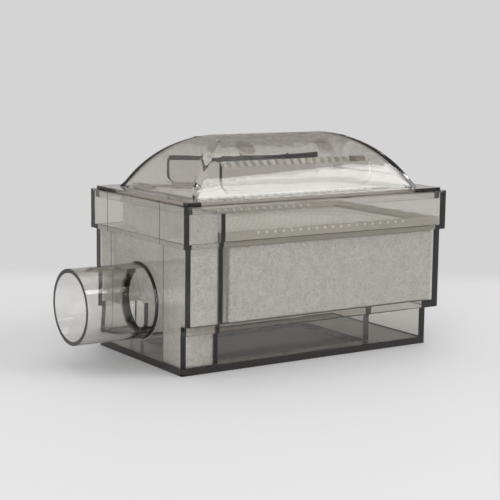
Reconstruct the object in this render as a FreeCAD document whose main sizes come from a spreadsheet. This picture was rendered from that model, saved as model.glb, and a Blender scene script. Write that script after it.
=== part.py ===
import FreeCAD, Part
import math
import os
import Sketcher

Vector = FreeCAD.Vector

# Two places nearer than this, in millimetres, are one place
TOUCH = 1e-4

# Driving dimensions in millimetres: name, size, what it measures.
# The long side of the box runs along X with the tube at the low end. Z is up.
SIZES = [
    ("collar_length", 94.0, "outside length of the collar"),
    ("collar_width", 56.4, "outside width of the collar"),
    ("housing_height", 48.0, "height of the collar's rim above the base"),
    ("collar_bottom", 36.2, "height of the collar's lower edge"),
    ("collar_overhang", 1.2, "how far the collar stands out from the main stage"),
    ("collar_ledge_thickness", 1.1, "thickness of the ledge under the collar"),
    ("lower_height", 11.8, "height of the lower stage"),
    ("lower_step_side", 2.4, "how far the lower stage is set in at front and back"),
    ("lower_step_end", 2.9, "how far the lower stage is set in at the closed end"),
    ("lower_ledge_thickness", 2.0, "thickness of the ledge over the lower stage"),
    ("wall", 2.0, "thickness of the housing's walls"),
    ("floor_thickness", 1.8, "thickness of the floor"),
    ("corner_radius", 1.0, "radius of the housing's upright corners"),
    ("foot_bevel", 0.5, "bevel round the foot of the housing"),
    ("rebate_width", 0.55, "width of the seat cut into the rim for the lid"),
    ("rebate_depth", 0.6, "depth of that seat"),
    ("chamber_length", 9.1, "inside length of the tube's chamber"),
    ("cross_wall_thickness", 1.4, "thickness of the wall behind the tube's chamber"),
    ("cross_wall_gap", 0.2, "space between the cross wall and the lid's skirt"),
    ("tube_outer_radius", 11.0, "outside radius of the outlet tube"),
    ("tube_bore_radius", 9.8, "inside radius of the outlet tube"),
    ("tube_length", 22.0, "length of the tube outside the end wall"),
    ("tube_height", 17.8, "height of the tube's axis"),
    ("tube_root_radius", 0.8, "fillet where the tube meets the wall"),
    ("socket_width", 35.6, "outside width of the inlet socket"),
    ("socket_end_gap", 16.0, "space between the socket and the closed end"),
    ("socket_wall", 1.5, "thickness of the socket's walls"),
    ("socket_seat_gap", 0.2, "space between the socket's rim and the folded pack"),
    ("lid_gap", 0.15, "clearance of the lid in the collar"),
    ("plate_thickness", 1.5, "thickness of the lid's plate"),
    ("skirt_thickness", 1.4, "thickness of the lid's skirt"),
    ("skirt_depth", 1.8, "how far the skirt goes down under the plate"),
    ("vault_margin", 5.1, "flat rim of the plate round the vault"),
    ("vault_rise", 16.4, "height of the vault above the plate"),
    ("vault_run", 22.4, "length of the vault's sloping ends"),
    ("vault_centre_depth", 20.0, "how far the flank ellipses are centred below the plate"),
    ("vault_wall", 1.9, "thickness of the vault"),
    ("rib_length", 54.0, "length of the ribs under the vault"),
    ("rib_spacing", 27.6, "distance between the ribs, centre to centre"),
    ("rib_thickness", 1.5, "thickness of the ribs"),
    ("rib_corner_radius", 4.0, "radius of the ribs' lower corners"),
    ("soft_gap", 0.2, "clearance round the felt and the glue"),
    ("pleat_count", 25.0, "number of upper fold tips in the filter paper"),
    ("media_thickness", 0.6, "thickness of the folded paper"),
    ("media_height", 24.4, "height of the folded pack"),
    ("media_side_gap", 0.3, "space between the folds' ends and the felt"),
    ("pack_end_gap", 1.9, "space at each end of the pack, closed by glue"),
    ("strip_thickness", 2.0, "thickness of the felt strips"),
    ("strip_height", 21.5, "height of the felt strips"),
    ("strip_inset", 2.4, "space between the cross wall and the felt strips"),
    ("bead_height", 2.6, "height of the glue above the collar's ledge"),
    ("bead_slope", 1.3, "bevel along the glue's inner top edge"),
]

doc = FreeCAD.newDocument("intake_filter")
sheet = doc.addObject("Spreadsheet::Sheet", "Sizes")
for row, (name, size, note) in enumerate(SIZES, start=1):
    sheet.set(f"A{row}", name)
    sheet.set(f"B{row}", str(size))
    sheet.set(f"C{row}", note)
    sheet.setAlias(f"B{row}", name)
doc.recompute()


def formula(text):
    """Write the sheet's name before each size in a formula."""
    words = text.replace("(", " ( ").replace(")", " ) ").split()
    names = {name for name, _, _ in SIZES}
    return " ".join(f"Sizes.{word}" if word in names else word for word in words)


def value(text):
    """Work out a formula in millimetres."""
    return float(sheet.evalExpression(formula(text)))


# Faces of the housing, as formulas of the sizes
COLLAR_LEFT = "( 0 - collar_length / 2 )"
COLLAR_RIGHT = "( collar_length / 2 )"
COLLAR_FRONT = "( 0 - collar_width / 2 )"
COLLAR_BACK = "( collar_width / 2 )"
MAIN_LEFT = f"( {COLLAR_LEFT} + collar_overhang )"
MAIN_RIGHT = f"( {COLLAR_RIGHT} - collar_overhang )"
MAIN_FRONT = f"( {COLLAR_FRONT} + collar_overhang )"
MAIN_BACK = f"( {COLLAR_BACK} - collar_overhang )"
LOWER_RIGHT = f"( {MAIN_RIGHT} - lower_step_end )"
LOWER_FRONT = f"( {MAIN_FRONT} + lower_step_side )"
LOWER_BACK = f"( {MAIN_BACK} - lower_step_side )"
CHAMBER_RIGHT = f"( {MAIN_LEFT} + wall + chamber_length )"
PACK_LEFT = f"( {CHAMBER_RIGHT} + cross_wall_thickness )"
PACK_RIGHT = f"( {MAIN_RIGHT} - wall )"
COLLAR_LEDGE = "( collar_bottom + collar_ledge_thickness )"
LOWER_LEDGE = "( lower_height + lower_ledge_thickness )"
SOCKET_RIGHT = f"( {LOWER_RIGHT} - wall - socket_end_gap )"
PACK_BOTTOM = f"( {LOWER_LEDGE} + soft_gap )"
SOCKET_TOP = f"( {PACK_BOTTOM} - socket_seat_gap )"
# The frame's origin is the middle of the whole footprint, tube included.
FOOTPRINT_SHIFT = "( ( tube_length - collar_overhang ) / 2 )"


def settle(piece, label):
    """Name a finished piece and set it over the middle of the footprint."""
    piece.Label = label
    piece.setExpression("Placement.Base.x", formula(FOOTPRINT_SHIFT))
    return piece


def plane(body, role):
    """One of a body's own origin planes."""
    return next(item for item in body.Origin.OriginFeatures if item.Role == role)


def sketch_on(body, name, role, offset):
    """A sketch on an origin plane, moved along the plane's normal."""
    sketch = body.newObject("Sketcher::SketchObject", name)
    sketch.AttachmentSupport = (plane(body, role), "")
    sketch.MapMode = "FlatFace"
    sketch.setExpression("AttachmentOffset.Base.z", formula(offset))
    return sketch


def pin_down(sketch, kind, item, point, text):
    """Hold a point of a sketch at a formula's distance from the origin."""
    distance = value(text)
    if distance < 0:
        index = sketch.addConstraint(Sketcher.Constraint(kind, item, point, -1, 1, -distance))
        sketch.setExpression(f"Constraints[{index}]", formula(f"0 - ( {text} )"))
    else:
        index = sketch.addConstraint(Sketcher.Constraint(kind, -1, 1, item, point, distance))
        sketch.setExpression(f"Constraints[{index}]", formula(text))


def add_rectangle(sketch, left, right, low, high):
    """A rectangle whose sides stand at four formulas."""
    x_low, x_high, y_low, y_high = (value(side) for side in (left, right, low, high))
    corners = [
        Vector(x_low, y_low, 0),
        Vector(x_high, y_low, 0),
        Vector(x_high, y_high, 0),
        Vector(x_low, y_high, 0),
    ]
    first = sketch.GeometryCount
    for start, end in zip(corners, corners[1:] + corners[:1]):
        sketch.addGeometry(Part.LineSegment(start, end))
    for side in range(4):
        following = first + (side + 1) % 4
        sketch.addConstraint(Sketcher.Constraint("Coincident", first + side, 2, following, 1))
    for side in (0, 2):
        sketch.addConstraint(Sketcher.Constraint("Horizontal", first + side))
        sketch.addConstraint(Sketcher.Constraint("Vertical", first + side + 1))
    pin_down(sketch, "DistanceX", first, 1, left)
    pin_down(sketch, "DistanceX", first + 1, 1, right)
    pin_down(sketch, "DistanceY", first, 1, low)
    pin_down(sketch, "DistanceY", first + 2, 1, high)


def add_circle(sketch, centre_up, radius):
    """A circle centred on the sketch's upright axis."""
    middle = Vector(0, value(centre_up), 0)
    item = sketch.addGeometry(Part.Circle(middle, Vector(0, 0, 1), value(radius)))
    sketch.addConstraint(Sketcher.Constraint("PointOnObject", item, 3, -2))
    pin_down(sketch, "DistanceY", item, 3, centre_up)
    size = sketch.addConstraint(Sketcher.Constraint("Radius", item, value(radius)))
    sketch.setExpression(f"Constraints[{size}]", formula(radius))


def pad(body, name, sketch, length, backwards=False):
    """Add material from a sketch along its normal, or against it."""
    feature = body.newObject("PartDesign::Pad", name)
    feature.Profile = sketch
    feature.Reversed = backwards
    feature.setExpression("Length", formula(length))
    doc.recompute()
    return feature


def pocket(body, name, sketch, depth):
    """Cut from a sketch against its normal, and make sure that something went."""
    before = body.Shape.Volume
    feature = body.newObject("PartDesign::Pocket", name)
    feature.Profile = sketch
    feature.setExpression("Length", formula(depth))
    doc.recompute()
    if body.Shape.Volume >= before:
        raise RuntimeError(f"{name} cut nothing")
    return feature


def edge_names(shape, wanted):
    """Names of the edges that pass a test."""
    return [f"Edge{number}" for number, edge in enumerate(shape.Edges, 1) if wanted(edge)]


def is_upright(edge):
    """An edge straight up, off the box's middle planes."""
    start, end = edge.Vertexes[0].Point, edge.Vertexes[-1].Point
    return abs(start.x - end.x) + abs(start.y - end.y) < TOUCH < abs(start.z - end.z)


def is_foot(edge):
    """An edge on the ground."""
    return abs(edge.BoundBox.ZMax) < TOUCH


def soften(body, kind, name, wanted, size):
    """Fillet or chamfer the edges of the body's newest feature that pass a test."""
    base = body.Tip
    feature = body.newObject(f"PartDesign::{kind}", name)
    feature.Base = (base, edge_names(base.Shape, wanted))
    feature.setExpression("Radius" if kind == "Fillet" else "Size", formula(size))
    doc.recompute()
    return feature


# Housing: one moulding in three stages, with the tube and the inlet socket
def make_housing():
    """Stepped box: lower stage, main stage, collar, cross wall, tube and socket."""
    body = doc.addObject("PartDesign::Body", "housing")

    lower = sketch_on(body, "lower_outline", "XY_Plane", "0")
    add_rectangle(lower, MAIN_LEFT, LOWER_RIGHT, LOWER_FRONT, LOWER_BACK)
    pad(body, "lower_stage", lower, "lower_height")
    main = sketch_on(body, "main_outline", "XY_Plane", "lower_height")
    add_rectangle(main, MAIN_LEFT, MAIN_RIGHT, MAIN_FRONT, MAIN_BACK)
    pad(body, "main_stage", main, "collar_bottom - lower_height")
    collar = sketch_on(body, "collar_outline", "XY_Plane", "collar_bottom")
    add_rectangle(collar, COLLAR_LEFT, COLLAR_RIGHT, COLLAR_FRONT, COLLAR_BACK)
    pad(body, "collar", collar, "housing_height - collar_bottom")
    soften(body, "Fillet", "upright_corners", is_upright, "corner_radius")
    soften(body, "Chamfer", "foot", is_foot, "foot_bevel")

    seat = sketch_on(body, "rebate_outline", "XY_Plane", "housing_height")
    inset = "wall - rebate_width"
    add_rectangle(
        seat,
        f"{COLLAR_LEFT} + {inset}",
        f"{COLLAR_RIGHT} - ( {inset} )",
        f"{COLLAR_FRONT} + {inset}",
        f"{COLLAR_BACK} - ( {inset} )",
    )
    pocket(body, "lid_seat", seat, "rebate_depth")
    mouth = sketch_on(body, "mouth_outline", "XY_Plane", "housing_height")
    add_rectangle(
        mouth,
        f"{COLLAR_LEFT} + wall",
        f"{COLLAR_RIGHT} - wall",
        f"{COLLAR_FRONT} + wall",
        f"{COLLAR_BACK} - wall",
    )
    pocket(body, "mouth", mouth, "rebate_depth + skirt_depth + cross_wall_gap")

    collar_rooms = sketch_on(body, "collar_rooms_outline", "XY_Plane", "housing_height")
    sides = (f"{COLLAR_FRONT} + wall", f"{COLLAR_BACK} - wall")
    add_rectangle(collar_rooms, f"{COLLAR_LEFT} + wall", CHAMBER_RIGHT, *sides)
    add_rectangle(collar_rooms, PACK_LEFT, f"{COLLAR_RIGHT} - wall", *sides)
    pocket(body, "collar_rooms", collar_rooms, f"housing_height - {COLLAR_LEDGE}")
    main_rooms = sketch_on(body, "main_rooms_outline", "XY_Plane", "housing_height")
    sides = (f"{MAIN_FRONT} + wall", f"{MAIN_BACK} - wall")
    add_rectangle(main_rooms, f"{MAIN_LEFT} + wall", CHAMBER_RIGHT, *sides)
    add_rectangle(main_rooms, PACK_LEFT, PACK_RIGHT, *sides)
    pocket(body, "main_rooms", main_rooms, f"housing_height - {LOWER_LEDGE}")

    lower_rooms = sketch_on(body, "lower_rooms_outline", "XY_Plane", "housing_height")
    sides = (f"{LOWER_FRONT} + wall", f"{LOWER_BACK} - wall")
    add_rectangle(lower_rooms, f"{MAIN_LEFT} + wall", CHAMBER_RIGHT, *sides)
    add_rectangle(lower_rooms, PACK_LEFT, f"{LOWER_RIGHT} - wall", *sides)
    pocket(body, "lower_rooms", lower_rooms, "housing_height - floor_thickness")

    socket = sketch_on(body, "socket_outline", "XY_Plane", "0")
    add_rectangle(socket, PACK_LEFT, SOCKET_RIGHT, "0 - socket_width / 2", "socket_width / 2")
    pad(body, "socket", socket, SOCKET_TOP)
    opening = sketch_on(body, "inlet_outline", "XY_Plane", SOCKET_TOP)
    add_rectangle(
        opening,
        f"{PACK_LEFT} + socket_wall",
        f"{SOCKET_RIGHT} - socket_wall",
        "0 - socket_width / 2 + socket_wall",
        "socket_width / 2 - socket_wall",
    )
    pocket(body, "inlet", opening, SOCKET_TOP)

    ring = sketch_on(body, "tube_outline", "YZ_Plane", f"{MAIN_LEFT} + wall")
    add_circle(ring, "tube_height", "tube_outer_radius")
    pad(body, "tube", ring, "tube_length + wall", backwards=True)
    hollow = sketch_on(body, "bore_outline", "YZ_Plane", f"{MAIN_LEFT} + wall")
    add_circle(hollow, "tube_height", "tube_bore_radius")
    pocket(body, "bore", hollow, "tube_length + wall")
    radius = value("tube_outer_radius")
    root = value(MAIN_LEFT)

    def is_root(edge):
        span = edge.BoundBox
        on_wall = abs(span.XMin - root) + abs(span.XMax - root) < TOUCH
        return on_wall and abs(span.YMax - radius) < TOUCH

    soften(body, "Fillet", "tube_root", is_root, "tube_root_radius")
    return settle(body, "housing")


# Lid: plate, skirt, pillow-shaped vault and two ribs under it
PLATE_LEFT = f"( {COLLAR_LEFT} + wall - rebate_width + lid_gap )"
PLATE_FRONT = f"( {COLLAR_FRONT} + wall - rebate_width + lid_gap )"
PLATE_BOTTOM = "( housing_height - rebate_depth )"
PLATE_TOP = f"( {PLATE_BOTTOM} + plate_thickness )"
VAULT_LEFT = f"( {PLATE_LEFT} + vault_margin )"
VAULT_FRONT = f"( {PLATE_FRONT} + vault_margin )"


def box(name, left, front, low, length, width, height):
    """A box whose corner and sides are formulas."""
    solid = doc.addObject("Part::Box", name)
    for axis, text in zip("xyz", (left, front, low)):
        solid.setExpression(f"Placement.Base.{axis}", formula(text))
    for side, text in zip(("Length", "Width", "Height"), (length, width, height)):
        solid.setExpression(side, formula(text))
    return solid


def flank(foot, crown, base, rise, depth):
    """Elliptical arc from the foot of a slope up to a level crown.

    The ellipse is centred under the crown, below the base by the given depth.
    """
    run = abs(crown - foot)
    minor = rise + depth
    major = run / (1 - (depth / minor) ** 2) ** 0.5
    centre = Vector(crown, base - depth, 0)
    across = Vector(major if crown < foot else -major, 0, 0)
    ellipse = Part.Ellipse(centre + Vector(0, minor, 0), centre + across, centre)
    return ellipse.toShape(0, ellipse.parameter(Vector(foot, base, 0)))


def arch_face(half_span, run, base, floor, rise, depth):
    """Upright face of an arch: a straight foot, two elliptical flanks and a level crown."""
    crown = half_span - run
    edges = []
    for side in (1, -1):
        edges.append(flank(side * half_span, side * crown, base, rise, depth))
        foot = Vector(side * half_span, base, 0)
        edges.append(Part.makeLine(Vector(side * half_span, floor, 0), foot))
    if crown > 0:
        edges.append(Part.makeLine(Vector(crown, base + rise, 0), Vector(-crown, base + rise, 0)))
    edges.append(Part.makeLine(Vector(-half_span, floor, 0), Vector(half_span, floor, 0)))
    return Part.Face(Part.Wire(Part.__sortEdges__(edges)))


def vault_solid(half_length, half_width, end_run, rise, depth, base, floor):
    """Pillow vault: what two crossed arches have in common."""
    along = arch_face(half_length, end_run, base, floor, rise, depth)
    along.rotate(Vector(0, 0, 0), Vector(1, 0, 0), 90)
    along.translate(Vector(0, half_length, 0))
    along = along.extrude(Vector(0, -2 * half_length, 0))
    across = arch_face(half_width, half_width, base, floor, rise, depth)
    across.rotate(Vector(0, 0, 0), Vector(1, 0, 0), 90)
    across.rotate(Vector(0, 0, 0), Vector(0, 0, 1), 90)
    across.translate(Vector(-half_length, 0, 0))
    across = across.extrude(Vector(2 * half_length, 0, 0))
    return along.common(across)


def vault(name, inset, base, floor):
    """The vault's outer or inner form as an object of the document."""
    half_length = -value(VAULT_LEFT) - inset
    half_width = -value(VAULT_FRONT) - inset
    rise = value("vault_rise") - inset
    depth = value("vault_centre_depth")
    end_run = value("vault_run") - inset
    feature = doc.addObject("Part::Feature", name)
    feature.Shape = vault_solid(half_length, half_width, end_run, rise, depth, base, floor)
    return feature


def rib(name, side):
    """A rib along the box, with rounded lower corners, up into the vault."""
    half = value("rib_length") / 2
    low = value(PLATE_TOP)
    high = low + value("vault_rise")
    radius = value("rib_corner_radius")
    thick = value("rib_thickness")
    slab = Part.makeBox(2 * half, thick, high - low, Vector(-half, -thick / 2, low))
    lower = []
    for edge in slab.Edges:
        span = edge.BoundBox
        if abs(span.ZMax - low) < TOUCH and span.XLength < TOUCH:
            lower.append(edge)
    slab = slab.makeFillet(radius, lower)
    slab.translate(Vector(0, side * value("rib_spacing") / 2, 0))
    feature = doc.addObject("Part::Feature", name)
    feature.Shape = slab
    return feature


def combine(kind, name, first, second):
    """Boolean of two objects."""
    result = doc.addObject(kind, name)
    result.Base = first
    result.Tool = second
    return result


def make_lid():
    """One moulding: the plate seats in the rim and the skirt goes inside the collar."""
    plate = box(
        "plate",
        PLATE_LEFT,
        PLATE_FRONT,
        PLATE_BOTTOM,
        f"0 - 2 * {PLATE_LEFT}",
        f"0 - 2 * {PLATE_FRONT}",
        "plate_thickness",
    )
    skirt_left = f"( {COLLAR_LEFT} + wall + lid_gap )"
    skirt_front = f"( {COLLAR_FRONT} + wall + lid_gap )"
    skirt_low = f"( {PLATE_BOTTOM} - skirt_depth )"
    skirt = box(
        "skirt_outside",
        skirt_left,
        skirt_front,
        skirt_low,
        f"0 - 2 * {skirt_left}",
        f"0 - 2 * {skirt_front}",
        "skirt_depth",
    )
    inside = box(
        "skirt_inside",
        f"{skirt_left} + skirt_thickness",
        f"{skirt_front} + skirt_thickness",
        skirt_low,
        f"0 - 2 * ( {skirt_left} + skirt_thickness )",
        f"0 - 2 * ( {skirt_front} + skirt_thickness )",
        "skirt_depth",
    )
    ring = combine("Part::Cut", "skirt", skirt, inside)
    rim = combine("Part::Fuse", "rim", plate, ring)
    top = value(PLATE_TOP)
    bottom = value(PLATE_BOTTOM)
    outer = vault("vault_outside", 0.0, top, bottom)
    inner = vault("vault_inside", value("vault_wall"), top, bottom - value("plate_thickness"))
    shell = combine("Part::Cut", "shell", combine("Part::Fuse", "closed_lid", rim, outer), inner)
    ribs = combine("Part::Fuse", "ribs", rib("front_rib", -1), rib("back_rib", 1))
    held = combine("Part::Common", "ribs_in_vault", ribs, outer)
    return settle(combine("Part::Fuse", "lid", shell, held), "lid")


# Pack: folded paper between two felt strips, under a ring of glue
# Flats that turn the paper over at each tip
TIP_FACETS = 4


def sheet_side(left, low, high, step, thick, tips, side):
    """Edges of one face of the folded sheet, from its first free end to its last."""
    outer = (step + thick) / 2
    inner = (step - thick) / 2
    edges = []
    for number in range(2 * tips):
        rising = number % 2 == 0
        x = left + number * step - side * (thick / 2 if rising else -thick / 2)
        foot = low if number in (0, 2 * tips - 1) else low + outer
        edges.append(Part.makeLine(Vector(x, 0, foot), Vector(x, 0, high - outer)))
        if number == 2 * tips - 1:
            break
        middle = Vector(left + (number + 0.5) * step, 0, high - outer if rising else low + outer)
        radius = outer if rising == (side > 0) else inner
        turn = [math.pi * (1 - bend / TIP_FACETS) for bend in range(TIP_FACETS + 1)]
        way = radius if rising else -radius
        tip = [middle + Vector(radius * math.cos(angle), 0, way * math.sin(angle)) for angle in turn]
        edges.extend(Part.makeLine(start, end) for start, end in zip(tip, tip[1:]))
    return edges


def fold_outline(left, low, high, step, thick, tips):
    """Closed outline of a sheet folded up and down, with round tips."""
    last = left + (2 * tips - 1) * step
    ends = [
        Part.makeLine(Vector(leg - thick / 2, 0, low), Vector(leg + thick / 2, 0, low))
        for leg in (left, last)
    ]
    faces = [sheet_side(left, low, high, step, thick, tips, side) for side in (1, -1)]
    return Part.Wire(Part.__sortEdges__(faces[0] + faces[1] + ends))


def make_media():
    """One sheet of paper, folded across the box, tips up and down."""
    thick = value("media_thickness")
    tips = int(value("pleat_count"))
    left = value(f"{PACK_LEFT} + pack_end_gap") + thick / 2
    right = value(f"{PACK_RIGHT} - pack_end_gap") - thick / 2
    low = value(PACK_BOTTOM)
    high = low + value("media_height")
    outline = fold_outline(left, low, high, (right - left) / (2 * tips - 1), thick, tips)
    front = value(f"{MAIN_FRONT} + wall + soft_gap + strip_thickness + media_side_gap")
    outline.translate(Vector(0, front, 0))
    feature = doc.addObject("Part::Feature", "pleated_media")
    feature.Shape = Part.Face(outline).extrude(Vector(0, -2 * front, 0))
    return settle(feature, "pleated_media")


def make_strip(label, front):
    """A felt strip on the lower ledge, along the open ends of the folds."""
    inside = f"( {PACK_LEFT} + strip_inset )"
    left = f"{inside} + {FOOTPRINT_SHIFT}"
    length = f"{PACK_RIGHT} - soft_gap - {inside}"
    solid = box(label, left, front, PACK_BOTTOM, length, "strip_thickness", "strip_height")
    solid.Label = label
    return solid


def make_bead():
    """Ring of glue from the collar's ledge down onto the strips and the pack's ends."""
    pack_left = f"( {PACK_LEFT} + pack_end_gap - soft_gap )"
    pack_right = f"( {PACK_RIGHT} - pack_end_gap + soft_gap )"
    pack_front = f"( {MAIN_FRONT} + wall + strip_thickness + media_side_gap )"
    left = f"( {PACK_LEFT} + soft_gap )"
    ledge_right = f"( {COLLAR_RIGHT} - wall - soft_gap )"
    ledge_front = f"( {COLLAR_FRONT} + wall + soft_gap )"
    low = f"( {COLLAR_LEDGE} + soft_gap )"
    crest = box(
        "bead_crest",
        left,
        ledge_front,
        low,
        f"{ledge_right} - {left}",
        f"0 - 2 * {ledge_front}",
        "bead_height",
    )
    root_low = f"( {PACK_BOTTOM} + strip_height + soft_gap )"
    root_front = f"( {MAIN_FRONT} + wall + soft_gap )"
    root = box(
        "bead_root",
        left,
        root_front,
        root_low,
        f"{PACK_RIGHT} - soft_gap - {left}",
        f"0 - 2 * {root_front}",
        f"{low} - {root_low}",
    )
    middle = box(
        "bead_middle",
        pack_left,
        pack_front,
        root_low,
        f"{pack_right} - {pack_left}",
        f"0 - 2 * {pack_front}",
        f"{low} + bead_height - {root_low}",
    )
    ring = combine("Part::Cut", "bead_ring", combine("Part::Fuse", "bead_block", crest, root), middle)
    doc.recompute()
    top = value(f"{low} + bead_height")
    inside = (value(pack_left), value(pack_right), value(pack_front))

    def is_inner_top(edge):
        span = edge.BoundBox
        if abs(span.ZMin - top) + abs(span.ZMax - top) > TOUCH:
            return False
        within_x = span.XMin > inside[0] - TOUCH and span.XMax < inside[1] + TOUCH
        return within_x and span.YMin > inside[2] - TOUCH and span.YMax < -inside[2] + TOUCH

    bevel = value("bead_slope")
    numbers = [number for number, edge in enumerate(ring.Shape.Edges, 1) if is_inner_top(edge)]
    bead = doc.addObject("Part::Chamfer", "seal_bead")
    bead.Base = ring
    bead.Edges = [(number, bevel, bevel) for number in numbers]
    return settle(bead, "seal_bead")


FRONT_STRIP = f"{MAIN_FRONT} + wall + soft_gap"
REAR_STRIP = f"{MAIN_BACK} - wall - soft_gap - strip_thickness"
pieces = [
    make_housing(),
    make_lid(),
    make_media(),
    make_strip("front_side_strip", FRONT_STRIP),
    make_strip("rear_side_strip", REAR_STRIP),
    make_bead(),
]
doc.recompute()

for item in doc.Objects:
    if {"Invalid", "Error"} & set(item.State):
        raise RuntimeError(f"{item.Name} failed: {item.State}")
for piece in pieces:
    if piece.Shape.isNull() or not piece.Shape.isValid() or len(piece.Shape.Solids) != 1:
        raise RuntimeError(f"{piece.Label} is not one valid solid")

os.makedirs("parts", exist_ok=True)
for piece in pieces:
    piece.Shape.exportStep(f"parts/{piece.Label}.step")
    size = piece.Shape.BoundBox
    print(
        f"{piece.Label}: {piece.Shape.Volume:.0f} mm3,"
        f" x {size.XMin:.2f} to {size.XMax:.2f},"
        f" y {size.YMin:.2f} to {size.YMax:.2f},"
        f" z {size.ZMin:.2f} to {size.ZMax:.2f}"
    )
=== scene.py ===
"""Oxygen concentrator filter: a smoke-clear box with a pillow-shaped lid, a tube and a folded paper pack."""
import math

import bmesh
import bpy
from bpy.props import FloatProperty, FloatVectorProperty, IntProperty, PointerProperty
from mathutils import Matrix, Vector


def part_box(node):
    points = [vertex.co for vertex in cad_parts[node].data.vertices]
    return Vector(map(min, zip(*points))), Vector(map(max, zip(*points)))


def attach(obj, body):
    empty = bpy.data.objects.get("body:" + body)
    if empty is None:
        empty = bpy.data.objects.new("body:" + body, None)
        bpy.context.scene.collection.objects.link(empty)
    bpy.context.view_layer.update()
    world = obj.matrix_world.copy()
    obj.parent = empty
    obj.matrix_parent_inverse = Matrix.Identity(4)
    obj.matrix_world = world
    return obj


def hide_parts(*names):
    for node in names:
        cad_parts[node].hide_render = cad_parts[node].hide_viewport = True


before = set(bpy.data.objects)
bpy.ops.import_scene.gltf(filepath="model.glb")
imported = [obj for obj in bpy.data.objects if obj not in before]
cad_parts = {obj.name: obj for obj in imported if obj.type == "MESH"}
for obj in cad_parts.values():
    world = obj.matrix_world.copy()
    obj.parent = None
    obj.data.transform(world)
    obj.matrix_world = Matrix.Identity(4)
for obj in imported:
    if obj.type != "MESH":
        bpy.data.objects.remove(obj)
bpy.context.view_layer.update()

bl_info = {
    "name": "Oxygen concentrator filter",
    "version": (1, 0, 0),
    "blender": (4, 5, 0),
    "location": "3D View > Sidebar > Filter",
    "description": "Dresses the filter's packed model: clear mouldings, folded paper, felt and glue",
    "category": "Object",
}

MM = 0.001

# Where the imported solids' main faces lie.
FOOT_LENGTH, FOOT_WIDTH, FOOT_CHAMFER = 88.7 * MM, 49.2 * MM, 0.5 * MM
FOOT_CENTRE_X = 8.95 * MM
FLOOR_LEVEL = 1.8 * MM
LOWER_LEDGE = 13.8 * MM
COLLAR_LEDGE = 37.3 * MM
END_WALL_X, END_WALL_THICKNESS = -35.4 * MM, 2.0 * MM
BORE_AXIS_Z, BORE_RADIUS = 17.8 * MM, 9.8 * MM
CROSS_WALL_REACH = 33.0 * MM  # from the tube's mouth to the cross wall's felt
VAULT_HEIGHT = 16.4 * MM

# The chamber's felt stops this far to each side of the tube.
FELT_GAP = (-12.2 * MM, 16.8 * MM)
# A thin near-black line is drawn on the end wall at each of these places across it.
END_WALL_DARK_LINES = (-14.2 * MM, 16.8 * MM)


def linear(code):
    """The linear colour, with alpha, of an sRGB hex code."""
    parts = [int(code[i : i + 2], 16) / 255 for i in (1, 3, 5)]
    return tuple(p / 12.92 if p <= 0.04045 else ((p + 0.055) / 1.055) ** 2.4 for p in parts) + (1.0,)


# ---------------------------------------------------------------- sizes and colours


class FilterSizes(bpy.types.PropertyGroup):
    """Sizes of what is modelled here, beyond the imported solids."""

    hip_radius: FloatProperty(
        name="Hip radius", description="Rounding along the four hips of the lid's vault",
        default=1.2 * MM, min=0.1 * MM, unit="LENGTH", subtype="DISTANCE",
    )
    fold_count: IntProperty(name="Folds", description="Upper tips of the folded paper", default=25, min=3)
    paper_thickness: FloatProperty(
        name="Paper thickness", description="Thickness of the folded filter paper with its carrier web",
        default=1.1 * MM, min=0.1 * MM, unit="LENGTH", subtype="DISTANCE",
    )
    felt_unevenness: FloatProperty(
        name="Felt unevenness", description="How far the needled felt's face rises and falls",
        default=0.18 * MM, min=0.0, unit="LENGTH", subtype="DISTANCE",
    )
    bead_unevenness: FloatProperty(
        name="Bead unevenness", description="How far the hand-laid glue's surface rises and falls",
        default=0.45 * MM, min=0.0, unit="LENGTH", subtype="DISTANCE",
    )
    mark_radius: FloatProperty(
        name="Ejector mark radius", description="Radius of the round marks that the ejector pins left",
        default=3.0 * MM, min=1.0 * MM, unit="LENGTH", subtype="DISTANCE",
    )


class FilterColours(bpy.types.PropertyGroup):
    """Colours of the filter and of the stage."""

    smoke: FloatVectorProperty(
        name="Smoke tint", description="Colour that the clear plastic keeps along a long way through it",
        default=linear("#b3a893"), size=4, min=0.0, max=1.0, subtype="COLOR",
    )
    # Painted shade: this near-black is not a colour of the plastic. It stands for the light that the tinted
    # plastic swallows where one looks lengthwise into a wall, and it also draws the dark lines across the end
    # wall.
    rim: FloatVectorProperty(
        name="Rim", description="Near-black of the smoke plastic seen along its length",
        default=linear("#1c1917"), size=4, min=0.0, max=1.0, subtype="COLOR",
    )
    mark: FloatVectorProperty(
        name="Ejector mark", description="What the duller skin of an ejector mark lets through",
        default=linear("#d6d3ce"), size=4, min=0.0, max=1.0, subtype="COLOR",
    )
    paper: FloatVectorProperty(
        name="Filter paper", description="Off-white glass-fibre paper",
        default=linear("#f6f6f1"), size=4, min=0.0, max=1.0, subtype="COLOR",
    )
    felt: FloatVectorProperty(
        name="Felt", description="White needled polyester felt",
        default=linear("#f8f8f4"), size=4, min=0.0, max=1.0, subtype="COLOR",
    )
    glue: FloatVectorProperty(
        name="Glue", description="Milky hot-melt glue",
        default=linear("#cfccc0"), size=4, min=0.0, max=1.0, subtype="COLOR",
    )
    table: FloatVectorProperty(
        name="Table", description="White table top",
        default=linear("#c9c9ca"), size=4, min=0.0, max=1.0, subtype="COLOR",
    )
    backdrop: FloatVectorProperty(
        name="Backdrop", description="Pale wall behind the table",
        default=linear("#d5d4d4"), size=4, min=0.0, max=1.0, subtype="COLOR",
    )
    room: FloatVectorProperty(
        name="Room", description="Dim room above the backdrop, mirrored in the plastic",
        default=linear("#aeaba8"), size=4, min=0.0, max=1.0, subtype="COLOR",
    )


# ---------------------------------------------------------------- nodes and materials


def add_node(tree, kind, values=None, links=None, **settings):
    """One shader node with its settings, its own values and the links that come into it."""
    made = tree.nodes.new(kind)
    for name, setting in settings.items():
        setattr(made, name, setting)
    for name, value in (values or {}).items():
        made.inputs[name].default_value = value
    for name, socket in (links or {}).items():
        tree.links.new(socket, made.inputs[name])
    return made


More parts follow.
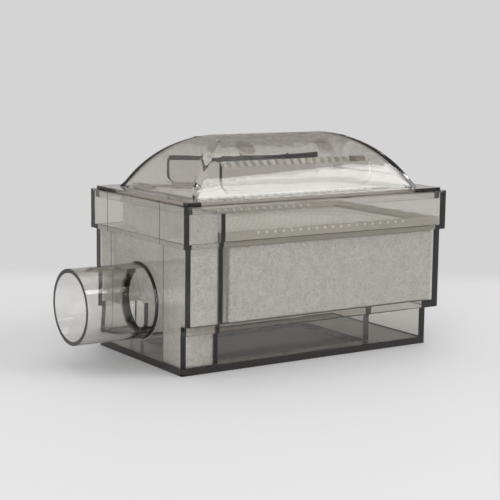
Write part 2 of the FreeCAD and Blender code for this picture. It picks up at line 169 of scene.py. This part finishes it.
def new_material(name):
    """An empty node material: its tree, its output node and the object coordinates' socket."""
    material = bpy.data.materials.new(name)
    material.use_nodes = True
    tree = material.node_tree
    tree.nodes.clear()
    output = add_node(tree, "ShaderNodeOutputMaterial")
    place = add_node(tree, "ShaderNodeTexCoord").outputs["Object"]
    return material, tree, output, place


def two_tone(tree, colour, darker, share):
    """The colour where share is 1, and as much darker as said where it is 0."""
    low = tuple(part * darker for part in colour[:3]) + (1.0,)
    return add_node(tree, "ShaderNodeMix", {6: low, 7: colour}, {0: share}, data_type="RGBA").outputs[2]


def pin_mark(tree, place, centre, level, reach, radius):
    """1 inside the round mark of an ejector pin, within reach of its level, and 0 elsewhere."""
    softness = 0.25 * MM
    flat = add_node(tree, "ShaderNodeVectorMath", {1: (1.0, 1.0, 0.0)}, {0: place}, operation="MULTIPLY")
    spot = add_node(
        tree, "ShaderNodeVectorMath", {1: (centre[0], centre[1], 0.0)}, {0: flat.outputs[0]},
        operation="DISTANCE",
    )
    disc = add_node(
        tree, "ShaderNodeMapRange",
        {"From Min": radius - softness, "From Max": radius + softness, "To Min": 1.0, "To Max": 0.0},
        {"Value": spot.outputs["Value"]}, interpolation_type="SMOOTHSTEP",
    )
    height = add_node(tree, "ShaderNodeSeparateXYZ", links={0: place}).outputs["Z"]
    near = add_node(tree, "ShaderNodeMath", {1: level, 2: reach}, {0: height}, operation="COMPARE")
    links = {0: disc.outputs[0], 1: near.outputs[0]}
    return add_node(tree, "ShaderNodeMath", links=links, operation="MULTIPLY").outputs[0]


def clear_plastic(name, colours, marks, lines):
    """Smoke-tinted SAN, injection moulded: glassy, faintly wavy, and dark where light runs along a wall.

    Each mark is the centre, level, reach and radius of an ejector pin's mark. Each line is the place across
    the end wall of a thin near-black line that is drawn there."""
    material, tree, output, place = new_material(name)
    # The melt's flow leaves the faces wavy over about 14 mm, by a few hundredths of a millimetre.
    waves = add_node(
        tree, "ShaderNodeTexNoise", {"Scale": 1 / (14 * MM), "Detail": 1.0, "Roughness": 0.4},
        {"Vector": place},
    ).outputs[0]
    height = add_node(tree, "ShaderNodeMath", {1: 0.10}, {0: waves}, operation="MULTIPLY").outputs[0]
    discs = [pin_mark(tree, place, *mark) for mark in marks]
    duller = add_node(tree, "ShaderNodeMath", {1: 0.0}, {0: discs[0]}, operation="MAXIMUM").outputs[0]
    for disc in discs[1:]:
        duller = add_node(tree, "ShaderNodeMath", links={0: disc, 1: duller}, operation="MAXIMUM").outputs[0]
    for disc in discs:
        links = {0: disc, 2: height}
        height = add_node(tree, "ShaderNodeMath", {1: 0.05}, links, operation="MULTIPLY_ADD").outputs[0]
    bump = add_node(
        tree, "ShaderNodeBump", {"Strength": 1.0, "Distance": 0.25 * MM}, {"Height": height},
    ).outputs[0]
    tone = add_node(
        tree, "ShaderNodeMix", {6: (1, 1, 1, 1), 7: colours.mark}, {0: duller}, data_type="RGBA",
    ).outputs[2]
    surface = add_node(
        tree, "ShaderNodeBsdfPrincipled", {"Roughness": 0.015, "IOR": 1.53, "Transmission Weight": 1.0},
        {"Normal": bump, "Base Color": tone},
    )
    parts = add_node(tree, "ShaderNodeSeparateXYZ", links={0: place})
    # A thin line of the near-black rim colour is drawn across the end wall at each line's place.
    for line in lines:
        near = add_node(
            tree, "ShaderNodeMath", {1: line, 2: 0.14 * MM}, {0: parts.outputs["Y"]}, operation="COMPARE",
        )
        # The compared span holds the end wall's outer face, and the collar's, which stands out 1.2 mm.
        end = add_node(
            tree, "ShaderNodeMath", {1: END_WALL_X - 0.6 * MM, 2: 0.8 * MM}, {0: parts.outputs["X"]},
            operation="COMPARE",
        )
        links = {0: near.outputs[0], 1: end.outputs[0]}
        share = add_node(tree, "ShaderNodeMath", links=links, operation="MULTIPLY").outputs[0]
        dark = add_node(tree, "ShaderNodeBsdfPrincipled", {"Base Color": colours.rim, "Roughness": 0.4})
        links = {0: share, 1: surface.outputs[0], 2: dark.outputs[0]}
        surface = add_node(tree, "ShaderNodeMixShader", links=links)
    tint = add_node(tree, "ShaderNodeVolumeAbsorption", {"Color": colours.smoke, "Density": 150.0})
    tree.links.new(surface.outputs[0], output.inputs["Surface"])
    tree.links.new(tint.outputs[0], output.inputs["Volume"])
    return material


def painted_edge_on_shade(name, colours):
    """Painted shade: an opaque near-black gloss in place of the same SAN where one looks lengthwise into a
    wall or the floor, where the plastic swallows the light but shines.
    """
    material, tree, output, _ = new_material(name)
    surface = add_node(tree, "ShaderNodeBsdfPrincipled", {"Base Color": colours.rim, "Roughness": 0.12})
    tree.links.new(surface.outputs[0], output.inputs["Surface"])
    return material


def folded_paper(name, colours):
    """Glass-fibre filter paper: matt, off-white, with short fibres that show as a fine mottle."""
    material, tree, output, place = new_material(name)
    # Fibre clots are about 0.6 mm across.
    mottle = add_node(
        tree, "ShaderNodeTexNoise", {"Scale": 1 / (0.6 * MM), "Detail": 4.0, "Roughness": 0.65},
        {"Vector": place},
    ).outputs[0]
    shade = two_tone(tree, colours.paper, 0.92, mottle)
    bump = add_node(
        tree, "ShaderNodeBump", {"Strength": 0.5, "Distance": 0.1 * MM}, {"Height": mottle},
    ).outputs[0]
    surface = add_node(
        tree, "ShaderNodeBsdfPrincipled", {"Roughness": 0.9, "Sheen Weight": 0.1},
        {"Base Color": shade, "Normal": bump},
    )
    tree.links.new(surface.outputs[0], output.inputs["Surface"])
    return material


def needled_felt(name, colours):
    """Needled polyester felt: a matt mat of crossed fibres, denser in clouds of a few millimetres."""
    material, tree, output, place = new_material(name)
    clouds = add_node(
        tree, "ShaderNodeTexNoise",
        {"Scale": 1 / (3.5 * MM), "Detail": 3.0, "Roughness": 0.6, "Distortion": 0.4}, {"Vector": place},
    ).outputs[0]
    # Real fibres are 0.03 mm thick. They are drawn as tangles of about 1 mm, so that they show.
    fibres = add_node(
        tree, "ShaderNodeTexNoise",
        {"Scale": 1 / (1.0 * MM), "Detail": 5.0, "Roughness": 0.7, "Distortion": 2.5}, {"Vector": place},
    ).outputs[0]
    links = {0: clouds, 2: fibres}
    depth = add_node(tree, "ShaderNodeMath", {1: 0.25}, links, operation="MULTIPLY_ADD").outputs[0]
    density = add_node(
        tree, "ShaderNodeMapRange", {"From Min": 0.50, "From Max": 0.72, "To Min": 0.0, "To Max": 1.0},
        {"Value": depth},
    ).outputs[0]
    shade = two_tone(tree, colours.felt, 0.64, density)
    bump = add_node(
        tree, "ShaderNodeBump", {"Strength": 0.7, "Distance": 0.25 * MM}, {"Height": depth},
    ).outputs[0]
    surface = add_node(
        tree, "ShaderNodeBsdfPrincipled", {"Roughness": 0.95, "Sheen Weight": 0.25, "Sheen Roughness": 0.6},
        {"Base Color": shade, "Normal": bump},
    )
    tree.links.new(surface.outputs[0], output.inputs["Surface"])
    return material


def hot_melt(name, colours, pitch, crown):
    """Hot-melt glue laid by hand: milky, soft-shining, rippled, with the fold tips showing through."""
    material, tree, output, place = new_material(name)
    ripples = add_node(
        tree, "ShaderNodeTexNoise", {"Scale": 1 / (2.2 * MM), "Detail": 2.0, "Roughness": 0.5},
        {"Vector": place},
    ).outputs[0]
    milk = two_tone(tree, colours.glue, 0.86, ripples)
    # The fold tips show as pale specks below the crown, one to a fold, except near the two ends.
    parts = add_node(tree, "ShaderNodeSeparateXYZ", links={0: place})
    links = {0: parts.outputs["X"]}
    fold = add_node(tree, "ShaderNodeMath", {1: pitch / 2}, links, operation="PINGPONG").outputs[0]
    speck = add_node(
        tree, "ShaderNodeMapRange",
        {"From Min": 0.10 * pitch, "From Max": 0.17 * pitch, "To Min": 1.0, "To Max": 0.0}, {"Value": fold},
    ).outputs[0]
    level = add_node(
        tree, "ShaderNodeMath", {1: crown - 0.75 * MM, 2: 0.4 * MM}, {0: parts.outputs["Z"]},
        operation="COMPARE",
    ).outputs[0]
    along = add_node(
        tree, "ShaderNodeMath", {1: 14.5 * MM, 2: 27.5 * MM}, links, operation="COMPARE",
    ).outputs[0]
    both = add_node(tree, "ShaderNodeMath", links={0: speck, 1: level}, operation="MULTIPLY").outputs[0]
    tips = add_node(tree, "ShaderNodeMath", links={0: both, 1: along}, operation="MULTIPLY").outputs[0]
    shade = add_node(
        tree, "ShaderNodeMix", {7: colours.paper}, {0: tips, 6: milk}, data_type="RGBA",
    ).outputs[2]
    bump = add_node(
        tree, "ShaderNodeBump", {"Strength": 0.6, "Distance": 0.3 * MM}, {"Height": ripples},
    ).outputs[0]
    surface = add_node(
        tree, "ShaderNodeBsdfPrincipled",
        {"Roughness": 0.35, "IOR": 1.48, "Subsurface Weight": 0.15, "Subsurface Scale": 0.6 * MM},
        {"Base Color": shade, "Normal": bump},
    )
    tree.links.new(surface.outputs[0], output.inputs["Surface"])
    return material


def wear(piece, *materials):
    """The piece has these materials and no others, and all its faces wear the first."""
    piece.data.materials.clear()
    for material in materials:
        piece.data.materials.append(material)


# ---------------------------------------------------------------- modelling


def select_only(piece):
    """This piece alone is selected, and it is active."""
    bpy.ops.object.select_all(action="DESELECT")
    piece.select_set(True)
    bpy.context.view_layer.objects.active = piece


def named(piece, name):
    """The piece and its mesh have this name, and the object sits at the origin, unturned and unscaled."""
    select_only(piece)
    bpy.ops.object.transform_apply(location=True, rotation=True, scale=True)
    piece.name = piece.data.name = name
    return piece


def choose(piece, kind, wanted):
    """In edit mode, only the vertices, edges or faces that wanted(element) picks are selected."""
    bpy.ops.mesh.select_mode(type=kind)
    bpy.ops.mesh.select_all(action="DESELECT")
    mesh = bmesh.from_edit_mesh(piece.data)
    elements = {"VERT": mesh.verts, "EDGE": mesh.edges, "FACE": mesh.faces}[kind]
    for element in elements:
        if wanted(element):
            element.select_set(True)
    mesh.select_flush_mode()
    bmesh.update_edit_mesh(piece.data)


def slice_across(axis, place):
    """In edit mode, the whole mesh gets an edge loop where a plane square to axis 0, 1 or 2 meets it."""
    normal = [0.0, 0.0, 0.0]
    normal[axis] = 1.0
    bpy.ops.mesh.select_all(action="SELECT")
    bpy.ops.mesh.bisect(plane_co=[place * part for part in normal], plane_no=normal)


def apply(piece, kind, **settings):
    """A modifier is added to the piece, set and applied."""
    select_only(piece)
    bpy.ops.object.modifier_add(type=kind)
    modifier = piece.modifiers[-1]
    for name, setting in settings.items():
        setattr(modifier, name, setting)
    bpy.ops.object.modifier_apply(modifier=modifier.name)


def smooth(piece, angle):
    """Smooth shading across edges flatter than this angle, with the large flats kept flat."""
    select_only(piece)
    bpy.ops.object.shade_smooth_by_angle(angle=math.radians(angle))
    apply(piece, "WEIGHTED_NORMAL", weight=50, keep_sharp=True)


def merged_copy(node, name):
    """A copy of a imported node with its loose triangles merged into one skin."""
    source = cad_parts[node]
    piece = source.copy()
    piece.data = source.data.copy()
    piece.parent = None
    for key in list(piece.keys()):
        del piece[key]
    bpy.context.scene.collection.objects.link(piece)
    piece.name = piece.data.name = name
    select_only(piece)
    bpy.ops.object.mode_set(mode="EDIT")
    bpy.ops.mesh.select_mode(type="VERT")
    bpy.ops.mesh.select_all(action="SELECT")
    bpy.ops.mesh.remove_doubles(threshold=0.001 * MM)
    bpy.ops.mesh.customdata_custom_splitnormals_clear()
    bpy.ops.object.mode_set(mode="OBJECT")
    return piece


def settle(piece, slot, *nodes):
    """The piece stands for these nodes, which are hidden, and rides on the part's one body. The slot is not
    used.
    """
    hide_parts(*nodes)
    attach(piece, "root")


class FILTER_OT_housing(bpy.types.Operator):
    """The stepped clear box with its tube, cross wall and socket"""

    bl_idname = "filter.housing"
    bl_label = "Housing"

    def execute(self, context):
        sizes, colours = context.scene.filter_sizes, context.scene.filter_colours
        piece = merged_copy("housing", "clear_housing")
        rim_height = 2.0 * MM

        def at_outer_walls(place):
            return abs(place.y) > 23.5 * MM or place.x < -34.0 * MM or place.x > 52.0 * MM

        def gets_painted_shade(face):
            middle = face.calc_center_median()
            off_bore = abs(math.hypot(middle.y, middle.z - BORE_AXIS_Z) - BORE_RADIUS)
            if middle.x > END_WALL_X and off_bore < 0.2 * MM:
                return middle.x < END_WALL_X + END_WALL_THICKNESS + 0.1 * MM
            return at_outer_walls(middle) and middle.z < rim_height and abs(face.normal.z) < 0.5

        # The picture shows a sharp foot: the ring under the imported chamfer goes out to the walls' planes.
        bpy.ops.object.mode_set(mode="EDIT")
        choose(piece, "VERT", lambda v: v.co.z < 0.1 * MM and at_outer_walls(v.co))
        stretch = [size / (size - 2 * FOOT_CHAMFER) for size in (FOOT_LENGTH, FOOT_WIDTH)]
        bpy.ops.transform.resize(value=(*stretch, 1.0), center_override=(FOOT_CENTRE_X, 0.0, 0.0))
        bpy.ops.object.mode_set(mode="OBJECT")

        # Two ejector marks are on the floor in front of the socket, and one is in the tube's chamber.
        spots = ((4.3 * MM, -20.2 * MM), (34.5 * MM, -20.2 * MM), (-29.5 * MM, 0.6 * MM))
        marks = [(spot, FLOOR_LEVEL - 0.6 * MM, 0.8 * MM, sizes.mark_radius) for spot in spots]
        wear(
            piece,
            clear_plastic("smoke_clear_SAN_housing", colours, marks, END_WALL_DARK_LINES),
            painted_edge_on_shade("smoke_SAN_painted_edge_on_shade", colours),
        )
        # Painted shade: the foot's rim and the bore's mouth in the end wall wear an opaque near-black gloss
        # instead of the clear plastic.
        bpy.ops.object.mode_set(mode="EDIT")
        slice_across(2, rim_height)
        slice_across(0, END_WALL_X - 0.2 * MM)
        choose(piece, "FACE", gets_painted_shade)
        piece.active_material_index = 1
        bpy.ops.object.material_slot_assign()
        bpy.ops.object.mode_set(mode="OBJECT")
        smooth(piece, 32)
        settle(piece, "smoke_plastic", "housing")
        return {"FINISHED"}


class FILTER_OT_lid(bpy.types.Operator):
    """The clear lid with its rim, vault and two ribs"""

    bl_idname = "filter.lid"
    bl_label = "Lid"

    def execute(self, context):
        sizes, colours = context.scene.filter_sizes, context.scene.filter_colours
        piece = merged_copy("lid", "clear_lid")
        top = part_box("lid")[1][2]
        # Two ejector marks are on the vault's front slope, a little below its ridge.
        spots = ((-5.4 * MM, -10.0 * MM), (23.1 * MM, -10.0 * MM))
        marks = [(spot, top - 3.5 * MM, 3.0 * MM, sizes.mark_radius) for spot in spots]
        wear(piece, clear_plastic("smoke_clear_SAN_lid", colours, marks, ()))

        def hip(edge):
            low_end = min(v.co.z for v in edge.verts)
            if len(edge.link_faces) != 2 or low_end < top - VAULT_HEIGHT + 0.1 * MM:
                return False
            normals = [face.normal for face in edge.link_faces if abs(face.normal.z) > 0.1]
            ends = [n for n in normals if abs(n.y) < 0.02 and abs(n.x) > 0.1]
            sides = [n for n in normals if abs(n.x) < 0.02 and abs(n.y) > 0.1]
            return len(ends) == 1 and len(sides) == 1

        bpy.ops.object.mode_set(mode="EDIT")
        choose(piece, "EDGE", hip)
        bpy.ops.mesh.bevel(offset=sizes.hip_radius, segments=4, affect="EDGES", clamp_overlap=False)
        bpy.ops.object.mode_set(mode="OBJECT")
        smooth(piece, 22)
        settle(piece, "smoke_plastic", "lid")
        return {"FINISHED"}


class FILTER_OT_paper(bpy.types.Operator):
    """The folded filter paper"""

    bl_idname = "filter.paper"
    bl_label = "Folded paper"

    def execute(self, context):
        sizes, colours = context.scene.filter_sizes, context.scene.filter_colours
        low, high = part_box("pleated_media")
        half = sizes.paper_thickness / 2
        # A fold has four columns of vertices: up, across its tip, down, and across to the next fold.
        columns = 4 * sizes.fold_count
        length = high[0] - low[0] - 2 * half
        rise = (high[2] - low[2]) / 2 - half

        def column(vertex):
            return round((vertex.co.x - low[0] - half) / (length / columns))

        bpy.ops.object.select_all(action="DESELECT")
        bpy.ops.mesh.primitive_grid_add(
            x_subdivisions=columns, y_subdivisions=6, size=1, location=(low + high) / 2,
        )
        piece = context.object
        piece.scale = (length, high[1] - low[1], 1.0)
        piece = named(piece, "folded_paper")
        bpy.ops.object.mode_set(mode="EDIT")
        choose(piece, "VERT", lambda v: column(v) % 4 in (1, 2))
        bpy.ops.transform.translate(value=(0, 0, rise))
        choose(piece, "VERT", lambda v: column(v) % 4 in (0, 3))
        bpy.ops.transform.translate(value=(0, 0, -rise))
        # Each crease holds its place within about a tenth of a millimetre.
        choose(piece, "VERT", lambda v: 0 < column(v) < columns)
        bpy.ops.transform.vertex_random(offset=0.12 * MM, seed=4)
        bpy.ops.object.mode_set(mode="OBJECT")
        apply(piece, "SOLIDIFY", thickness=sizes.paper_thickness, offset=0.0)
        apply(
            piece, "BEVEL", width=0.15 * MM, segments=2, limit_method="ANGLE", angle_limit=math.radians(40),
        )
        select_only(piece)
        bpy.ops.object.shade_smooth_by_angle(angle=math.radians(50))
        wear(piece, folded_paper("glass_fibre_paper", colours))
        settle(piece, "filter_paper", "pleated_media")
        return {"FINISHED"}


def felt_finish(piece, felt, clouds, edge, height, level):
    """Soft edges, an uneven face and the felt's material. The level is the texture value that stays put."""
    apply(piece, "BEVEL", width=edge, segments=2, limit_method="ANGLE", angle_limit=math.radians(60))
    apply(piece, "DISPLACE", texture=clouds, texture_coords="LOCAL", strength=height, mid_level=level)
    bpy.ops.object.shade_smooth()
    wear(piece, felt)


class FILTER_OT_felt(bpy.types.Operator):
    """The two felt strips along the open ends of the folds, and the felt that lines the tube's chamber"""

    bl_idname = "filter.felt"
    bl_label = "Felt"

    def execute(self, context):
        sizes, colours = context.scene.filter_sizes, context.scene.filter_colours
        felt = needled_felt("needled_polyester_felt", colours)
        clouds = bpy.data.textures.new("felt_clouds", "CLOUDS")
        clouds.noise_scale = 3.0 * MM
        clouds.noise_depth = 2
        for node in ("front_side_strip", "rear_side_strip"):
            low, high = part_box(node)
            size = high - low
            bpy.ops.object.select_all(action="DESELECT")
            bpy.ops.mesh.primitive_grid_add(
                x_subdivisions=74, y_subdivisions=22, size=1, location=(low + high) / 2,
                rotation=(math.pi / 2, 0, 0),
            )
            piece = context.object
            piece.scale = (size[0] - 0.2 * MM, size[2], 1.0)
            piece = named(piece, node.replace("side_strip", "felt_strip"))
            # The play at the ends and faces leaves room for the uneven face.
            apply(piece, "SOLIDIFY", thickness=size[1] - 0.3 * MM, offset=0.0)
            select_only(piece)
            bpy.ops.object.mode_set(mode="EDIT")
            bpy.ops.mesh.select_all(action="SELECT")
            bpy.ops.mesh.normals_make_consistent(inside=False)
            bpy.ops.object.mode_set(mode="OBJECT")
            felt_finish(piece, felt, clouds, 0.35 * MM, sizes.felt_unevenness, 0.5)
            settle(piece, "felt", node)

        # One piece of the same felt lines the tube's chamber. It covers the cross wall above the ledge, turns
        # along both corners up to the collar's ledge, and its front corner reaches down to the floor.
        front, sheet_low, floor_front = -24.8 * MM, LOWER_LEDGE + 0.2 * MM, -22.5 * MM
        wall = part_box("housing")[0][0] + CROSS_WALL_REACH
        low = Vector((wall - 1.5 * MM, front, sheet_low))
        high = Vector((wall, -front, 45.0 * MM))
        bpy.ops.object.select_all(action="DESELECT")
        bpy.ops.mesh.primitive_cube_add(size=1, location=(low + high) / 2)
        piece = context.object
        piece.scale = high - low
        piece = named(piece, "felt_liner")
        bpy.ops.object.mode_set(mode="EDIT")
        for y in (floor_front, *FELT_GAP):
            slice_across(1, y)
        slice_across(2, COLLAR_LEDGE)

        def beside_tube(face):
            middle = face.calc_center_median()
            in_gap = FELT_GAP[0] < middle.y < FELT_GAP[1]
            return face.normal.x < -0.9 and middle.z < COLLAR_LEDGE and not in_gap

        def over_floor(face):
            return face.normal.z < -0.9 and floor_front < face.calc_center_median().y < FELT_GAP[0]

        choose(piece, "FACE", beside_tube)
        bpy.ops.mesh.extrude_region_move(TRANSFORM_OT_translate={"value": (-7.4 * MM, 0, 0)})
        choose(piece, "FACE", over_floor)
        drop = sheet_low - FLOOR_LEVEL - 0.05 * MM
        bpy.ops.mesh.extrude_region_move(TRANSFORM_OT_translate={"value": (0, 0, -drop)})
        bpy.ops.mesh.select_all(action="SELECT")
        bpy.ops.mesh.subdivide(number_cuts=9)
        bpy.ops.mesh.normals_make_consistent(inside=False)
        bpy.ops.object.mode_set(mode="OBJECT")
        felt_finish(piece, felt, clouds, 0.4 * MM, sizes.felt_unevenness, 0.8)
        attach(piece, "root")
        return {"FINISHED"}


class FILTER_OT_bead(bpy.types.Operator):
    """The ring of glue round the top of the pack"""

    bl_idname = "filter.bead"
    bl_label = "Glue bead"

    def execute(self, context):
        sizes, colours = context.scene.filter_sizes, context.scene.filter_colours
        piece = merged_copy("seal_bead", "glue_bead")
        step = 1.3 * MM
        bpy.ops.object.mode_set(mode="EDIT")
        for axis, start, count in ((0, -22.0 * MM, 60), (1, -25.35 * MM, 40)):
            for number in range(count):
                slice_across(axis, start + number * step)
        bpy.ops.object.mode_set(mode="OBJECT")

        # The top 2 mm rise and fall, and the sides stay straight.
        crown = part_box("seal_bead")[1][2]
        crown_height = 2.0 * MM
        waves = bpy.data.textures.new("glue_waves", "CLOUDS")
        waves.noise_scale = 4.0 * MM
        group = piece.vertex_groups.new(name="crown")
        for vertex in piece.data.vertices:
            share = (vertex.co.z - (crown - crown_height)) / crown_height
            group.add([vertex.index], min(1.0, max(0.0, share)), "REPLACE")
        apply(
            piece, "DISPLACE", texture=waves, texture_coords="LOCAL", direction="Z", vertex_group="crown",
            strength=2 * sizes.bead_unevenness, mid_level=0.8,
        )
        piece.vertex_groups.clear()
        smooth(piece, 40)
        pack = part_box("pleated_media")
        wear(piece, hot_melt("hot_melt_glue", colours, (pack[1][0] - pack[0][0]) / sizes.fold_count, crown))
        settle(piece, "hot_melt", "seal_bead")
        return {"FINISHED"}


# ---------------------------------------------------------------- stage


def seen_share(tree):
    """1 for rays that the camera, a gloss or a clear wall sends, and 0 for those that light the object."""
    path = add_node(tree, "ShaderNodeLightPath").outputs
    links = {0: path["Is Camera Ray"], 1: path["Is Glossy Ray"]}
    seen = add_node(tree, "ShaderNodeMath", links=links, operation="MAXIMUM").outputs[0]
    links = {0: seen, 1: path["Is Transmission Ray"]}
    seen = add_node(tree, "ShaderNodeMath", links=links, operation="MAXIMUM").outputs[0]
    # A ray that left a matt surface brings it light, even through a clear wall.
    links = {0: path["Diffuse Depth"]}
    direct = add_node(tree, "ShaderNodeMath", {1: 0.5}, links, operation="LESS_THAN").outputs[0]
    return add_node(tree, "ShaderNodeMath", links={0: seen, 1: direct}, operation="MULTIPLY").outputs[0]


def table_top(colours):
    """White table top, satin-matt, which gives way to the pale wall behind along a soft line."""
    material, tree, output, place = new_material("table_top")
    # The line runs square to the camera's view over the table.
    across = add_node(
        tree, "ShaderNodeVectorMath", {1: (0.5549, 0.8319, 0.0)}, {0: place}, operation="DOT_PRODUCT",
    ).outputs["Value"]
    beyond = add_node(
        tree, "ShaderNodeMapRange",
        {"From Min": 112 * MM, "From Max": 146 * MM, "To Min": 0.0, "To Max": 1.0}, {"Value": across},
        interpolation_type="SMOOTHSTEP",
    ).outputs[0]
    links = {0: beyond, 1: seen_share(tree)}
    share = add_node(tree, "ShaderNodeMath", links=links, operation="MULTIPLY").outputs[0]
    top = add_node(tree, "ShaderNodeBsdfPrincipled", {"Base Color": colours.table, "Roughness": 0.55})
    wall = add_node(tree, "ShaderNodeEmission", {"Color": colours.backdrop, "Strength": 1.0})
    mixed = add_node(tree, "ShaderNodeMixShader", links={0: share, 1: top.outputs[0], 2: wall.outputs[0]})
    tree.links.new(mixed.outputs[0], output.inputs["Surface"])
    return material


def studio(colours):
    """The world: even light on the object, and a pale backdrop under a dimmer room where it is seen."""
    world = bpy.data.worlds.new("studio")
    world.use_nodes = True
    tree = world.node_tree
    tree.nodes.clear()
    # Above the pale backdrop the room is darker, which the glossy plastic mirrors.
    way = add_node(tree, "ShaderNodeTexCoord").outputs["Generated"]
    rise = add_node(tree, "ShaderNodeSeparateXYZ", links={0: way}).outputs["Z"]
    above = add_node(
        tree, "ShaderNodeMapRange", {"From Min": 0.05, "From Max": 0.16, "To Min": 0.0, "To Max": 1.0},
        {"Value": rise}, interpolation_type="SMOOTHSTEP",
    ).outputs[0]
    room = add_node(
        tree, "ShaderNodeMix", {6: colours.backdrop, 7: colours.room}, {0: above}, data_type="RGBA",
    ).outputs[2]
    seen = add_node(tree, "ShaderNodeBackground", {"Strength": 1.0}, {"Color": room}).outputs[0]
    white = {"Color": (1.0, 1.0, 1.0, 1.0), "Strength": 0.95}
    even = add_node(tree, "ShaderNodeBackground", white).outputs[0]
    mixed = add_node(tree, "ShaderNodeMixShader", links={0: seen_share(tree), 1: even, 2: seen})
    sky = add_node(tree, "ShaderNodeOutputWorld")
    tree.links.new(mixed.outputs[0], sky.inputs["Surface"])
    return world


class FILTER_OT_stage(bpy.types.Operator):
    """The table, the lamps, the world and the camera"""

    bl_idname = "filter.stage"
    bl_label = "Stage"

    def execute(self, context):
        scene, colours = context.scene, context.scene.filter_colours
        bpy.ops.object.select_all(action="DESELECT")
        bpy.ops.mesh.primitive_grid_add(
            x_subdivisions=8, y_subdivisions=8, size=12.0, location=(0, 0, -0.02 * MM),
        )
        floor = named(context.object, "table")
        wear(floor, table_top(colours))
        scene.world = studio(colours)

        # The lamps' names, places, the heights that they aim at, their sides in metres and their powers.
        for name, place, aim, side, power in (
            ("front_right_softbox", (0.53, -0.48, 0.57), 0.04, 0.4, 2.2),
            ("front_left_softbox", (-0.66, -0.72, 0.24), 0.03, 0.7, 6.4),
            ("overhead_softbox", (0.10, 0.10, 0.80), 0.04, 0.6, 1.4),
        ):
            bpy.ops.object.light_add(type="AREA", location=place)
            lamp = context.object
            lamp.name = lamp.data.name = name
            lamp.data.shape = "RECTANGLE"
            lamp.data.size, lamp.data.size_y, lamp.data.energy = side, side, power
            lamp.rotation_euler = (Vector((0, 0, aim)) - Vector(place)).to_track_quat("-Z", "Y").to_euler()
            # The overhead lamp lights the pack's top, and no plastic mirrors it.
            lamp.visible_glossy = name != "overhead_softbox"

        # The camera's place and turn come from eleven corners of the box as they stand in the picture.
        yaw, roll = math.radians(33.72), math.radians(0.66)
        right = Vector((math.cos(yaw), -math.sin(yaw), 0.0))
        ahead = Vector((0.54905, 0.82257, -0.14806))
        above = right.cross(ahead)
        side = math.cos(roll) * right + math.sin(roll) * above
        above = -math.sin(roll) * right + math.cos(roll) * above
        turn = Matrix((side, above, -ahead)).transposed()
        bpy.ops.object.camera_add(location=(-0.23072, -0.35078, 0.09287), rotation=turn.to_euler())
        camera = context.object
        camera.name = camera.data.name = "camera"
        camera.data.lens = 100.65
        camera.data.sensor_width = 36.0
        camera.data.clip_start = 0.01
        scene.camera = camera
        scene.view_settings.view_transform = "Standard"
        return {"FINISHED"}


# ---------------------------------------------------------------- panel and registration


class FILTER_PT_panel(bpy.types.Panel):
    """Lists the filter's pieces, its sizes and its colours"""

    bl_idname = "FILTER_PT_panel"
    bl_label = "Filter"
    bl_space_type = "VIEW_3D"
    bl_region_type = "UI"
    bl_category = "Filter"

    def draw(self, context):
        for operator in OPERATORS:
            self.layout.operator(operator.bl_idname)
        for group in (context.scene.filter_sizes, context.scene.filter_colours):
            for name in group.__annotations__:
                self.layout.prop(group, name)


OPERATORS = (
    FILTER_OT_stage,
    FILTER_OT_housing,
    FILTER_OT_lid,
    FILTER_OT_paper,
    FILTER_OT_felt,
    FILTER_OT_bead,
)
CLASSES = (FilterSizes, FilterColours) + OPERATORS + (FILTER_PT_panel,)


def register():
    """Adds the classes and the scene's sizes and colours."""
    for each in CLASSES:
        bpy.utils.register_class(each)
    bpy.types.Scene.filter_sizes = PointerProperty(type=FilterSizes)
    bpy.types.Scene.filter_colours = PointerProperty(type=FilterColours)


def unregister():
    """Takes away what register adds."""
    del bpy.types.Scene.filter_colours
    del bpy.types.Scene.filter_sizes
    for each in reversed(CLASSES):
        bpy.utils.unregister_class(each)


def main():
    """Builds every piece in order."""
    register()
    bpy.ops.filter.stage()
    bpy.ops.filter.housing()
    bpy.ops.filter.lid()
    bpy.ops.filter.paper()
    bpy.ops.filter.felt()
    bpy.ops.filter.bead()
    bpy.context.view_layer.update()


if __name__ == "__main__":
    main()
